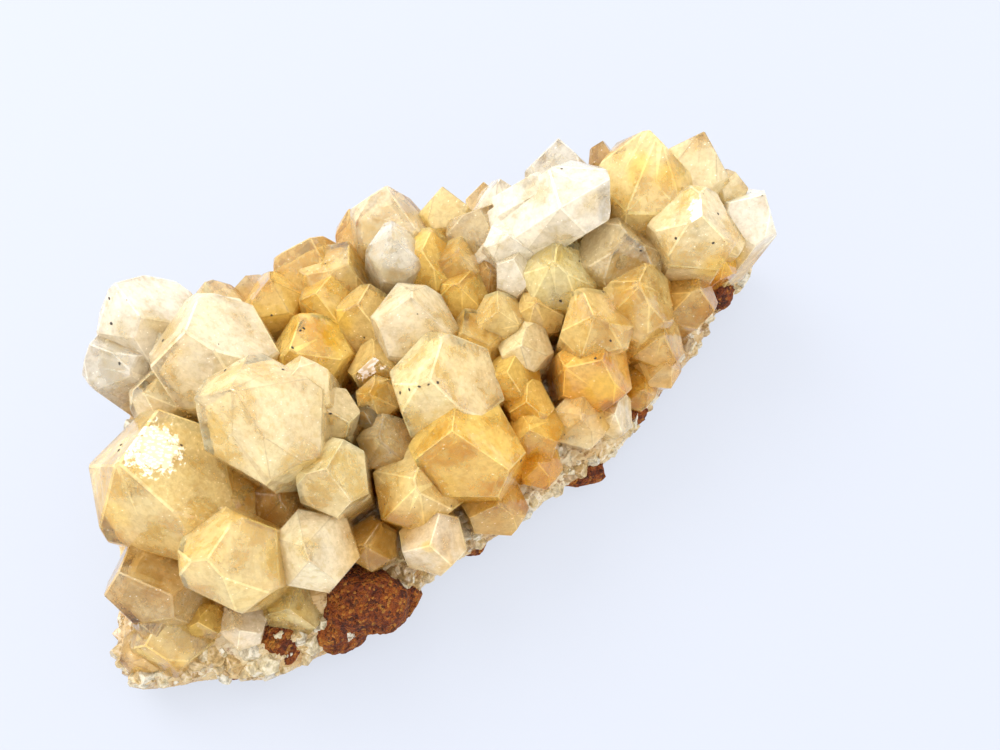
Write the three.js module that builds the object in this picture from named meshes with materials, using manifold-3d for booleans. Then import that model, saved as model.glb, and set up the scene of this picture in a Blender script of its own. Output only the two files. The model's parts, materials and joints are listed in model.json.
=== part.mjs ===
// A golden healer quartz cluster: a carpet of squat quartz points on a crust of massive quartz,
// which still sits on the rusty, iron-stained rock that it grew on. Millimetres, +Z up.
// The cluster lies on the flat underside of its rock, with its long axis along X.
import * as THREE from 'three';
import { ConvexGeometry } from 'three/addons/geometries/ConvexGeometry.js';
import { mergeVertices } from 'three/addons/utils/BufferGeometryUtils.js';
import Module from 'manifold-3d';

const wasm = await Module();
wasm.setup();

// Driving dimensions

const rhombAngle = 51.8; // from the c-axis to the normal of a quartz termination face, in degrees
const contactGap = 0.35; // between the quartz and the rock that it sits on
const undersideShare = 0.8; // the flat underside's size, as a share of the rim's
const planTurn = -34; // turns the plan below, so that the specimen's long axis runs along X, in degrees
const planCentre = [-13.57, 11.02]; // the middle of the turned specimen, which becomes the origin
const sectors = 38; // steps round the rim
const rockFrontHeight = 5.5; // the rock is thinner at the front edge than at the back
const rockBackHeight = 15;
const crustFront = 4.5; // thickness of the massive quartz at the rim, front and back
const crustBack = 6;
const crustDome = 5; // how much thicker the massive quartz is in the middle
const shootLeastRadius = 9; // crystals at least this wide carry a smaller point on one side
const bandFront = -30; // across the plan, where the front edge's heights give way to
const bandBack = 38; // those of the back edge

// The rim of the rock in plan, anticlockwise from the front left corner.
const rimPoints = [
  [-81, -63], [-74, -68], [-62, -66], [-50, -66], [-39, -61], [-28, -55], [-21, -49], [-13, -42],
  [-4, -36], [5, -30], [16, -21], [25, -15], [33, -6], [40, 4], [48, 14], [54, 25], [59, 31],
  [63, 37], [61, 43], [53, 48], [40, 53], [22, 54], [4, 49], [-16, 43], [-34, 36], [-54, 27],
  [-66, 20], [-77, 13], [-83, 3], [-85, -12], [-84, -30], [-82, -48],
];
const rimMiddle = [-12, -8];

// The crystals. Each row is
// tip x, y, z | radius | direction and angle of its lean from upright | turn about its own axis |
// length, which ends in the crust or the rock | how much wider it is one way than the other.
const crystals = {
  // The big pale points that overhang the broad end
  shelf: [
    [-79, 8, 47, 11, 130, 20, 10, 32, 1],
    [-61, -9, 55, 13, 250, 10, 30, 42, 1.05],
    [-73, -14, 42, 7.5, 210, 16, 10, 26, 1],
    [-85, -3, 41, 8.5, 175, 22, 40, 30, 1],
    [-48, -27, 60, 13.5, 255, 12, 0, 46, 1],
    [-71, -36, 50, 15.5, 235, 14, 15, 46, 1],
    [-53, -53, 45, 10.5, 260, 20, 5, 36, 1],
    [-73, -52, 34, 9.5, 205, 16, 35, 30, 1],
    [-71, -62, 22, 9, 245, 28, 12, 22, 1],
    [-61, -58, 21, 4, 270, 20, 25, 14, 1],
    [-53, -58, 20, 5.5, 290, 20, 50, 16, 1],
    [-43, -54, 19, 7.5, 285, 24, 20, 16, 1],
    [-77, -63, 16, 6, 225, 38, 40, 16, 1],
    [-83, -26, 30, 7, 190, 26, 20, 22, 1],
  ],
  // Between the big points and the middle field
  saddle: [
    [-37, -49, 38, 8.5, 280, 24, 20, 30, 1.1],
    [-33, -35, 46, 8, 275, 14, 8, 34, 1],
    [-35, -19, 42, 6, 255, 14, 33, 26, 1],
    [-56, -36, 36, 7, 250, 16, 50, 24, 1],
    [-44, -36, 35, 7, 315, 16, 15, 24, 1],
    [-47, -42, 31, 4, 270, 10, 0, 16, 1],
  ],
  // The back edge, where low ridges of crystal lean away
  back: [
    [-64, 13, 37, 8.5, 110, 18, 18, 24, 1.1],
    [-50, 13, 41, 7.5, 90, 8, 42, 26, 1],
    [-41, 23, 39, 9, 80, 16, 5, 26, 1.2],
    [-33, 16, 42, 9, 345, 22, 24, 28, 1.1],
    [-24, 33, 44, 9.5, 75, 14, 15, 28, 1],
    [-22, 18, 47, 7, 310, 12, 30, 32, 1],
    [-13, 38, 40, 7.5, 95, 22, 38, 24, 1],
    [-16, 19, 42, 8, 290, 14, 12, 28, 1],
    [-4, 30, 42, 8.5, 60, 8, 0, 26, 1.15],
    [-9, 20, 41, 7, 315, 8, 22, 26, 1],
    [1, 40, 39, 9, 95, 24, 48, 24, 1.15],
    [7, 41, 39, 7, 85, 22, 8, 24, 1],
    [23, 32, 51, 9.5, 10, 48, 15, 36, 1.1],
    [14, 49, 43, 9, 95, 20, 30, 28, 1],
    [24, 47, 44, 3.5, 85, 22, 10, 22, 1],
    [30, 53, 34, 7, 85, 32, 10, 22, 1],
    [-3, 46, 30, 7, 105, 34, 20, 18, 1],
    [-33, 35, 33, 7.5, 105, 32, 5, 20, 1],
    [-48, 27, 28, 7, 105, 30, 40, 16, 1],
    [3, 21, 44, 6.5, 295, 18, 40, 26, 1],
    [-57, 19, 31, 6.5, 115, 26, 20, 20, 1.1],
  ],
  // The middle field
  field: [
    [-43, -5, 43, 9, 235, 22, 26, 30, 1],
    [-38, 9, 41, 7.5, 245, 14, 6, 26, 1],
    [-29, 4, 42, 8, 270, 12, 12, 28, 1],
    [-26, -6, 39, 7, 280, 12, 35, 24, 1],
    [-26, -14, 38, 5, 250, 16, 10, 20, 1],
    [-28, -18, 37, 3, 270, 10, 0, 14, 1],
    [-24, -24, 37, 7, 270, 16, 22, 24, 1],
    [-17, 2, 48, 8.5, 330, 8, 28, 34, 1.1],
    [-8, 12, 39, 6.5, 270, 10, 0, 22, 1],
    [-8, 1, 39, 7.5, 215, 18, 36, 24, 1],
    [-12, -16, 48, 11.5, 265, 18, 18, 38, 1.1],
    [-8, -27, 45, 12, 250, 14, 28, 40, 1],
    [-16, -33, 36, 9.5, 290, 16, 12, 30, 1.1],
    [-2, 18, 37, 5.5, 270, 8, 50, 20, 1],
    [4, 17, 41, 6, 290, 8, 5, 22, 1],
    [0, 5, 40, 6, 270, 16, 32, 22, 1],
    [5, -1, 38, 6.5, 255, 14, 18, 22, 1],
    [3, -8, 36, 6.5, 270, 14, 8, 22, 1],
    [13, 14, 45, 9.5, 260, 12, 24, 32, 1.05],
    [9, 8, 38, 6, 280, 12, 44, 22, 1],
    [21, 1, 45, 8.5, 280, 14, 44, 32, 1],
    [22, -7, 39, 9, 295, 20, 10, 28, 1],
    [6, -13, 34, 6, 270, 14, 26, 20, 1],
    [7, -20, 33, 7, 260, 20, 36, 22, 1],
    [18, -16, 30, 7, 280, 24, 16, 20, 1],
  ],
  // The narrow end
  crown: [
    [35, 42, 52, 12.5, 80, 12, 30, 36, 1],
    [47, 45, 48, 9, 60, 20, 12, 30, 1],
    [43, 22, 52, 10.5, 270, 16, 25, 36, 1],
    [60, 35, 41, 8, 15, 18, 5, 26, 1],
    [54, 41, 41, 5, 40, 18, 40, 22, 1],
    [51, 25, 33, 6, 300, 16, 0, 20, 1],
    [32, 32, 43, 7, 310, 14, 15, 24, 1],
    [36, 32, 43, 3.5, 270, 8, 35, 18, 1],
    [28, 20, 47, 10.5, 320, 10, 48, 34, 1],
    [31, 9, 43, 9.5, 290, 10, 6, 32, 1],
    [48, 50, 35, 7, 60, 34, 30, 20, 1],
    [61, 42, 31, 6.5, 25, 36, 15, 20, 1],
  ],
  // The low front edge
  front: [
    [45, 15, 33, 7.5, 300, 20, 22, 24, 1],
    [37, 5, 30, 7.5, 300, 22, 12, 24, 1],
    [38, 1, 24, 6, 305, 28, 30, 18, 1],
    [33, -3, 20, 5.5, 300, 28, 20, 16, 1],
    [26, -11, 24, 6.5, 300, 24, 5, 18, 1],
    [-14, -45, 31, 7.5, 270, 24, 15, 26, 1],
    [0, -34, 26, 7.5, 290, 24, 28, 22, 1],
    [-27, -43, 27, 6, 265, 18, 0, 18, 1],
    [9, -24, 26, 6, 290, 22, 18, 18, 1],
  ],
};

// Lumps of bare rusty rock that show through the crust: x, y, z and half sizes along X, Y and Z.
const rustyLumps = [
  [-29, -50, 10, 10, 8, 8],
  [-24, -47, 5, 7, 6, 6],
  [-36, -55, 6, 8, 5.5, 6],
  [-48, -59, 8, 7, 4.5, 5],
  [-56, -62, 5, 7.5, 4, 5],
  [53, 27, 12, 5, 5, 6],
  [18, -17, 4, 7, 4, 4],
  [-7, -35, 4, 5, 3.5, 4],
  [31, -4, 8, 4, 4, 4],
];

// Helpers

const radians = THREE.MathUtils.degToRad;
const clamp = THREE.MathUtils.clamp;

// A fixed number from 0 to 1 for each seed, so that the cluster grows the same way each time.
function chance(seed) {
  const wave = Math.sin(seed * 12.9898 + 4.1) * 43758.5453;
  return wave - Math.floor(wave);
}

// Gentle lumps, from about -1 to 1, at a place in the plan.
function lumps(x, y) {
  return (Math.sin(x * 0.31 + y * 0.12 + 1.3) + Math.sin(y * 0.37 - x * 0.16 + 0.4)
    + Math.sin((x + y) * 0.52 + 2.1)) / 3;
}

// How far back a place lies, from 0 at the front edge to 1 at the back edge.
function backness(x, y) {
  const across = -Math.sin(radians(-planTurn)) * x + Math.cos(radians(-planTurn)) * y;
  return clamp((across - bandFront) / (bandBack - bandFront), 0, 1);
}

function solidOf(geometry) {
  const bare = geometry.index ? geometry.toNonIndexed() : geometry.clone();
  bare.deleteAttribute('normal');
  bare.deleteAttribute('uv');
  const merged = mergeVertices(bare, 1e-4);
  const mesh = new wasm.Mesh({
    numProp: 3,
    vertProperties: new Float32Array(merged.attributes.position.array),
    triVerts: new Uint32Array(merged.index.array),
  });
  return new wasm.Manifold(mesh);
}

function geometryOf(solid) {
  const mesh = solid.getMesh();
  const positions = new Float32Array(mesh.numVert * 3);
  for (let i = 0; i < mesh.numVert; i++) {
    const from = i * mesh.numProp;
    positions.set(mesh.vertProperties.subarray(from, from + 3), i * 3);
  }
  const indexed = new THREE.BufferGeometry();
  indexed.setAttribute('position', new THREE.BufferAttribute(positions, 3));
  indexed.setIndex(new THREE.BufferAttribute(mesh.triVerts, 1));
  const flat = indexed.toNonIndexed();
  flat.computeVertexNormals();
  return flat;
}

// The outer shell of the largest piece, so that no crumb stays loose and no hollow stays sealed.
function mainShell(solid) {
  const shells = solid.decompose();
  return shells.reduce((best, shell) => (shell.volume() > best.volume() ? shell : best));
}

// The rock and the crust: rings that follow the rim, stacked into one closed body

const rimCurve = new THREE.CatmullRomCurve3(
  rimPoints.map(([x, y]) => new THREE.Vector3(x, y, 0)), true, 'centripetal');

// A place in the plan at a share of the way from the middle to the rim.
function placeOnRing(sector, share) {
  const rim = rimCurve.getPoint((sector % sectors) / sectors);
  return [
    rimMiddle[0] + (rim.x - rimMiddle[0]) * share,
    rimMiddle[1] + (rim.y - rimMiddle[1]) * share,
  ];
}

// rings goes from the middle of the underside, out round the rim and back to the middle of the top.
// Each has its share of the way out and a function that gives its height at a place.
function ringedSlab(rings) {
  const triangles = [];
  const at = (ring, sector) => {
    const [x, y] = placeOnRing(sector, ring.share);
    return [x, y, ring.height(x, y, sector % sectors)];
  };
  for (let i = 0; i + 1 < rings.length; i++) {
    for (let s = 0; s < sectors; s++) {
      const a = at(rings[i], s);
      const b = at(rings[i], s + 1);
      const c = at(rings[i + 1], s + 1);
      const d = at(rings[i + 1], s);
      if (rings[i].share > 0) triangles.push(a, b, c);
      if (rings[i + 1].share > 0) triangles.push(a, c, d);
    }
  }
  const geometry = new THREE.BufferGeometry();
  geometry.setAttribute('position', new THREE.Float32BufferAttribute(triangles.flat(), 3));
  return solidOf(geometry);
}

function rockTop(x, y) {
  return THREE.MathUtils.lerp(rockFrontHeight, rockBackHeight, backness(x, y)) + 1.2 * lumps(x, y);
}

function crustTop(x, y, share) {
  const thickness = THREE.MathUtils.lerp(crustFront, crustBack, backness(x, y));
  return rockTop(x, y) + thickness + crustDome * (1 - share * share) + 1.6 * lumps(y + 9, x - 5);
}

// A faceted lump with uneven corners, cut off just above the ground.
function lumpSolid([x, y, z, ...half], grow) {
  const lump = new THREE.IcosahedronGeometry(1, half[0] > 6 ? 1 : 0);
  const position = lump.attributes.position;
  const corner = new THREE.Vector3();
  for (let i = 0; i < position.count; i++) {
    corner.fromBufferAttribute(position, i);
    const seed = Math.round(corner.x * 50) + Math.round(corner.y * 70) + Math.round(corner.z * 90) + x;
    const wobble = 0.86 + 0.28 * chance(seed);
    position.setXYZ(
      i,
      corner.x * (half[0] * wobble + grow) + x,
      corner.y * (half[1] * wobble + grow) + y,
      Math.max(corner.z * (half[2] * wobble + grow) + z, 0.6 - grow));
  }
  return solidOf(lump);
}

// grow is how far the rock's faces are pushed out, to cut the quartz with a gap.
function rockSolid(grow) {
  const leastRimRadius = 40;
  const out = grow / leastRimRadius;
  let rock = ringedSlab([
    { share: 0, height: () => -grow },
    { share: undersideShare + out, height: () => -grow },
    { share: 0.93 + out, height: (x, y, s) => 2.2 + 1.2 * chance(s) - grow },
    { share: 0.985 + out, height: (x, y, s) => 3.4 + 1.6 * chance(s + 90) },
    { share: 0.95 + out, height: (x, y) => rockTop(x, y) + grow },
    { share: 0.7, height: (x, y) => rockTop(x, y) + grow },
    { share: 0.4, height: (x, y) => rockTop(x, y) + grow },
    { share: 0, height: (x, y) => rockTop(x, y) + grow },
  ]);
  for (const lump of rustyLumps) rock = rock.add(lumpSolid(lump, grow));
  return rock;
}

function crustSolid() {
  return ringedSlab([
    { share: 0, height: () => 3 },
    { share: 0.86, height: () => 3 },
    { share: 0.97, height: (x, y, s) => rockTop(x, y) * 0.7 + chance(s + 31) },
    { share: 1.0, height: (x, y, s) => rockTop(x, y) + 1 + 1.5 * chance(s + 57) },
    { share: 0.96, height: (x, y) => crustTop(x, y, 0.97) },
    { share: 0.8, height: (x, y) => crustTop(x, y, 0.8) },
    { share: 0.55, height: (x, y) => crustTop(x, y, 0.55) },
    { share: 0.28, height: (x, y) => crustTop(x, y, 0.28) },
    { share: 0, height: (x, y) => crustTop(x, y, 0) },
  ]);
}

// The crystals

// The flat faces of one quartz point, with its tip at the origin and its c-axis along Z.
function quartzFaces(radius, length, stretch, seed) {
  const faces = [{ normal: new THREE.Vector3(0, 0, -1), distance: length }];
  for (let k = 0; k < 6; k++) {
    const turn = radians(60 * k);
    const wide = 1 + (stretch - 1) * Math.abs(Math.cos(turn));
    const apothem = radius * Math.cos(radians(30)) * wide * (0.9 + 0.2 * chance(seed + k));
    faces.push({ normal: new THREE.Vector3(Math.cos(turn), Math.sin(turn), 0), distance: apothem });
    // Three termination faces in turn grow large and meet near the tip, and three stay small.
    const large = k % 2 === 0;
    const back = large ? 0.3 * chance(seed + k + 20) : 0.12 + 0.4 * chance(seed + k + 40);
    const tilt = radians(rhombAngle);
    faces.push({
      normal: new THREE.Vector3(
        Math.sin(tilt) * Math.cos(turn), Math.sin(tilt) * Math.sin(turn), Math.cos(tilt)),
      distance: k === 0 ? 0 : radius * back,
    });
  }
  return faces;
}

// The corners of the space inside a set of flat faces.
function cornersOf(faces) {
  const corners = [];
  const cross = (a, b) => new THREE.Vector3().crossVectors(a.normal, b.normal);
  for (let i = 0; i < faces.length; i++) {
    for (let j = i + 1; j < faces.length; j++) {
      for (let k = j + 1; k < faces.length; k++) {
        const [a, b, c] = [faces[i], faces[j], faces[k]];
        const volume = a.normal.dot(cross(b, c));
        if (Math.abs(volume) < 1e-6) continue;
        const corner = cross(b, c).multiplyScalar(a.distance)
          .addScaledVector(cross(c, a), b.distance)
          .addScaledVector(cross(a, b), c.distance)
          .divideScalar(volume);
        if (faces.every((face) => face.normal.dot(corner) < face.distance + 1e-5)) corners.push(corner);
      }
    }
  }
  return corners;
}

// How a point stands: its tip in place and its c-axis leaning as its row says.
function placeOfRow([x, y, z, , direction, lean, turn]) {
  const axis = new THREE.Vector3(
    Math.sin(radians(lean)) * Math.cos(radians(direction)),
    Math.sin(radians(lean)) * Math.sin(radians(direction)),
    Math.cos(radians(lean)));
  const place = new THREE.Object3D();
  place.quaternion.setFromUnitVectors(new THREE.Vector3(0, 0, 1), axis);
  place.rotateZ(radians(turn));
  place.position.set(x, y, z);
  place.updateMatrix();
  return place.matrix;
}

function quartzPoint(row, seed) {
  const [, , , radius, , , , length, stretch] = row;
  const geometry = new ConvexGeometry(cornersOf(quartzFaces(radius, length, stretch, seed)));
  return solidOf(geometry.applyMatrix4(placeOfRow(row)));
}

// A smaller point that grew against the side of a larger one.
function sideShootRow(row, seed) {
  const [, , , radius, direction, lean, turn] = row;
  const angle = 2 * Math.PI * chance(seed + 11);
  const away = radius * (0.62 + 0.2 * chance(seed + 7));
  const drop = radius * (0.75 + 0.5 * chance(seed + 13));
  const tip = new THREE.Vector3(away * Math.cos(angle), away * Math.sin(angle), -drop)
    .applyMatrix4(placeOfRow(row));
  const small = radius * (0.36 + 0.22 * chance(seed + 8));
  return [
    tip.x, tip.y, tip.z, small, direction + 16 * (chance(seed + 1) - 0.5), lean + 8 * chance(seed + 2),
    turn + 4, small * 3, 1,
  ];
}

// The pieces

function quartzSolid() {
  let quartz = crustSolid();
  Object.values(crystals).flat().forEach((row, i) => {
    quartz = quartz.add(quartzPoint(row, 7 * i + 1));
    if (row[3] >= shootLeastRadius) {
      quartz = quartz.add(quartzPoint(sideShootRow(row, 31 * i + 5), 900 + 7 * i));
    }
  });
  return mainShell(quartz.subtract(rockSolid(contactGap)));
}

const rock = new THREE.Mesh(
  geometryOf(rockSolid(0)),
  new THREE.MeshStandardMaterial({ color: 0x9c5a26, roughness: 0.95, metalness: 0 }));
rock.name = 'rusty_matrix';

const quartz = new THREE.Mesh(
  geometryOf(quartzSolid()),
  new THREE.MeshStandardMaterial({ color: 0xf2dfae, roughness: 0.15, metalness: 0 }));
quartz.name = 'quartz_cluster';

const plan = new THREE.Group();
plan.rotation.z = radians(planTurn);
plan.position.set(-planCentre[0], -planCentre[1], 0);
plan.add(rock, quartz);

const cluster = new THREE.Group();
cluster.add(plan);

export default cluster;
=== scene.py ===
import json
import math
import bpy
from mathutils import Matrix, Vector, noise
from mathutils.bvhtree import BVHTree

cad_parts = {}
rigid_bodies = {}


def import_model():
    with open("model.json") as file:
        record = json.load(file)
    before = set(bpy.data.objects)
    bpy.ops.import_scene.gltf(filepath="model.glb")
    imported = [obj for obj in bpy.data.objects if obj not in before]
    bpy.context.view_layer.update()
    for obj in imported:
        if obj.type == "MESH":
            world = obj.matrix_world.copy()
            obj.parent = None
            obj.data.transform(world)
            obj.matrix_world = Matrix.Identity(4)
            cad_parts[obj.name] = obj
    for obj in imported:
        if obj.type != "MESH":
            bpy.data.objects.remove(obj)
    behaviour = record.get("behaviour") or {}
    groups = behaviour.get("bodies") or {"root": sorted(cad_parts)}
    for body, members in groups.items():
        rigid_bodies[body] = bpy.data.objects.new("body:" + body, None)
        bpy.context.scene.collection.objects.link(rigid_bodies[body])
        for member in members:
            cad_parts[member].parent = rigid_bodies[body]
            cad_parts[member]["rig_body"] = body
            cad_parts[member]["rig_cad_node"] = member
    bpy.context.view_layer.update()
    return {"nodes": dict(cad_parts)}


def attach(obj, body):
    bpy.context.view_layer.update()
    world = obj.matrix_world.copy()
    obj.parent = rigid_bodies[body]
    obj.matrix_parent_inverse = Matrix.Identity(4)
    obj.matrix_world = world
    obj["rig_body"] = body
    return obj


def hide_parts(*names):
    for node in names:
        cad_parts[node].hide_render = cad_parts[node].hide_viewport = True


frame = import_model()
print("frame loaded")

# Everything is modelled in millimetres in the plan of the specimen, then brought to metres and turned
# so that the long axis runs along X, as the frame does.

mm = 0.001
planTurn = math.radians(-34)
planShift = Vector((13.57, -11.02, 0))
planToFrame = Matrix.Scale(mm, 4) @ Matrix.Translation(planShift) @ Matrix.Rotation(planTurn, 4, "Z")


def chance(seed):  # the same 0 to 1 for the same seed, so the cluster always grows the same way
    wave = math.sin(seed * 12.9898 + 4.1) * 43758.5453
    return wave - math.floor(wave)


def varied(start, spread, seed):  # a chance value, used as from start to start plus spread
    return start + spread * chance(seed)


def mixed(a, b, share):
    return a + (b - a) * share


def clamped(value, low=0.0, high=1.0):
    return max(low, min(high, value))


def mode(name):
    bpy.ops.object.mode_set(mode=name)


def clearSelection():
    if bpy.context.object and bpy.context.object.mode != "OBJECT":
        mode("OBJECT")
    bpy.ops.object.select_all(action="DESELECT")


def pick(piece):
    clearSelection()
    piece.select_set(True)
    bpy.context.view_layer.objects.active = piece


def applied(piece, kind, **settings):  # adds a modifier with these settings and applies it
    pick(piece)
    modifier = piece.modifiers.new(kind.lower(), kind)
    for name, value in settings.items():
        setattr(modifier, name, value)
    bpy.ops.object.modifier_apply(modifier=modifier.name)


def moved(piece, place):  # place takes a vertex position and gives the new one
    for vertex in piece.data.vertices:
        vertex.co = place(vertex.co.copy())
    piece.data.update()


def shadedByAngle(piece, degrees):
    pick(piece)
    bpy.ops.object.shade_smooth_by_angle(angle=math.radians(degrees))


def edited(operation, **settings):  # runs an edit-mode operation on the whole of the active piece
    mode("EDIT")
    bpy.ops.mesh.select_all(action="SELECT")
    operation(**settings)
    mode("OBJECT")


def copied(piece):
    part = piece.copy()
    part.data = piece.data.copy()
    bpy.context.scene.collection.objects.link(part)
    return part


def joined(parts):
    clearSelection()
    for part in parts:
        part.select_set(True)
    bpy.context.view_layer.objects.active = parts[0]
    bpy.ops.object.join()
    return parts[0]


def treeOf(piece):
    corners = [vertex.co for vertex in piece.data.vertices]
    return BVHTree.FromPolygons(corners, [face.vertices for face in piece.data.polygons])


def turnedTo(way):  # turns the Z axis to this way
    return Vector((0, 0, 1)).rotation_difference(way).to_matrix().to_4x4()


def tinted(piece, hexColour):  # one colour all over
    colour = linear(hexColour)
    tint = piece.data.attributes.new("tint", "FLOAT_COLOR", "CORNER")
    for item in tint.data:
        item.color = colour


def finishedPiece(piece, name, material, node):
    piece.name = name
    piece.data.name = name
    piece.data.materials.clear()
    piece.data.materials.append(material)
    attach(piece, "root")
    if node:
        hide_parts(node)


# Materials


def linear(hexColour):  # a screen colour such as "#F4DFBB" as linear light
    values = [int(hexColour[i:i + 2], 16) / 255 for i in (1, 3, 5)]
    return [v / 12.92 if v <= 0.04045 else ((v + 0.055) / 1.055) ** 2.4 for v in values] + [1.0]


def addNode(tree, kind, settings=None, links=None):
    node = tree.nodes.new("ShaderNode" + kind)
    for name, value in (settings or {}).items():
        if isinstance(name, str) and hasattr(node, name):
            setattr(node, name, value)
        else:
            node.inputs[name].default_value = value
    for name, source in (links or {}).items():
        tree.links.new(source, node.inputs[name])
    return node


def newMaterial(name):
    material = bpy.data.materials.new(name)
    material.use_nodes = True
    tree = material.node_tree
    tree.nodes.clear()
    output = addNode(tree, "OutputMaterial")
    return material, tree, output


def ramp(tree, source, stops):  # stops are pairs of a place from 0 to 1 and a colour
    node = addNode(tree, "ValToRGB", links={"Fac": source})
    elements = node.color_ramp.elements
    while len(elements) < len(stops):
        elements.new(0.5)
    for element, (place, colour) in zip(elements, stops):
        element.position = place
        element.color = linear(colour)
    return node.outputs["Color"]


def ranged(tree, source, low, high, outLow, outHigh):
    node = addNode(tree, "MapRange", {
        "interpolation_type": "SMOOTHSTEP", "From Min": low, "From Max": high,
        "To Min": outLow, "To Max": outHigh}, {"Value": source})
    return node.outputs["Result"]


def maths(tree, operation, a, b):
    settings = {"operation": operation}
    links = {}
    for place, value in enumerate((a, b)):
        if isinstance(value, (int, float)):
            settings[place] = value
        else:
            links[place] = value
    return addNode(tree, "Math", settings, links).outputs[0]


def times(tree, a, b):
    return maths(tree, "MULTIPLY", a, b)


def vectorMaths(tree, operation, a, settings=None, links=None):
    settings = {"operation": operation, **(settings or {})}
    return addNode(tree, "VectorMath", settings, {0: a, **(links or {})})


def blendColours(tree, share, a, b, kind="MIX"):
    node = addNode(tree, "Mix", {"data_type": "RGBA", "blend_type": kind})
    for place, value in ((0, share), (6, a), (7, b)):
        if isinstance(value, str):
            node.inputs[place].default_value = linear(value)
        elif isinstance(value, (int, float)):
            node.inputs[place].default_value = value
        else:
            tree.links.new(value, node.inputs[place])
    return node.outputs[2]


def layered(tree, colour, layers):  # each is its share, its colour and, if not MIX, how it is mixed in
    for share, over, *kind in layers:
        colour = blendColours(tree, share, colour, over, *kind)
    return colour


def objectPlace(tree):
    return addNode(tree, "TexCoord").outputs["Object"]


def ownValue(tree, name, output="Fac"):  # what the piece's own attribute of this name holds
    return addNode(tree, "Attribute", {"attribute_name": name}).outputs[output]


def noiseNode(tree, source, scale, detail, roughness, distortion=0.0):
    return addNode(tree, "TexNoise", {
        "Scale": scale, "Detail": detail, "Roughness": roughness, "Distortion": distortion},
        {"Vector": source})


def noiseValue(tree, source, *settings):
    return noiseNode(tree, source, *settings).outputs["Fac"]


def cellsNode(tree, source, scale):
    return addNode(tree, "TexVoronoi", {"Scale": scale}, {"Vector": source})


def cellValue(tree, cells):  # a value from 0 to 1 for each cell
    return addNode(tree, "SeparateColor", links={"Color": cells.outputs["Color"]}).outputs[0]


def bumped(tree, height, strength, distance):
    node = addNode(tree, "Bump", {"Strength": strength, "Distance": distance}, {"Height": height})
    return node.outputs[0]


def surfaced(tree, output, settings, links=None):
    shader = addNode(tree, "BsdfPrincipled", settings, links)
    tree.links.new(shader.outputs[0], output.inputs["Surface"])


# In the settings of the materials, a noise is its scale, detail, roughness and distortion, and a range
# is two values of a source and the two values that these become.

quartzRefraction = 1.544
shapeNoise = (0.8, 2.2, 4)  # roughness, lacunarity and octaves of the noise in the shapes


# What each sort of quartz in the cluster looks like: its colour and how cloudy it is.
quartzSorts = {
    "snow": ("#FFF4DC", 0.74),
    "rose": ("#FFEEC6", 0.70),
    "cream": ("#FEEAB6", 0.60),
    "lemon": ("#FCE4A0", 0.54),
    "straw": ("#FBEBAE", 0.48),
    "water": ("#FFEFC8", 0.40),
    "ice": ("#F6EFDF", 0.40),
    "gold": ("#FBD97A", 0.48),
    "amber": ("#FFD26E", 0.52),
    "tan": ("#F2D488", 0.46),
    "smoke": ("#E8D3A2", 0.34),
    "brown": ("#D4AE6C", 0.36),
}


# The crystals

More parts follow.
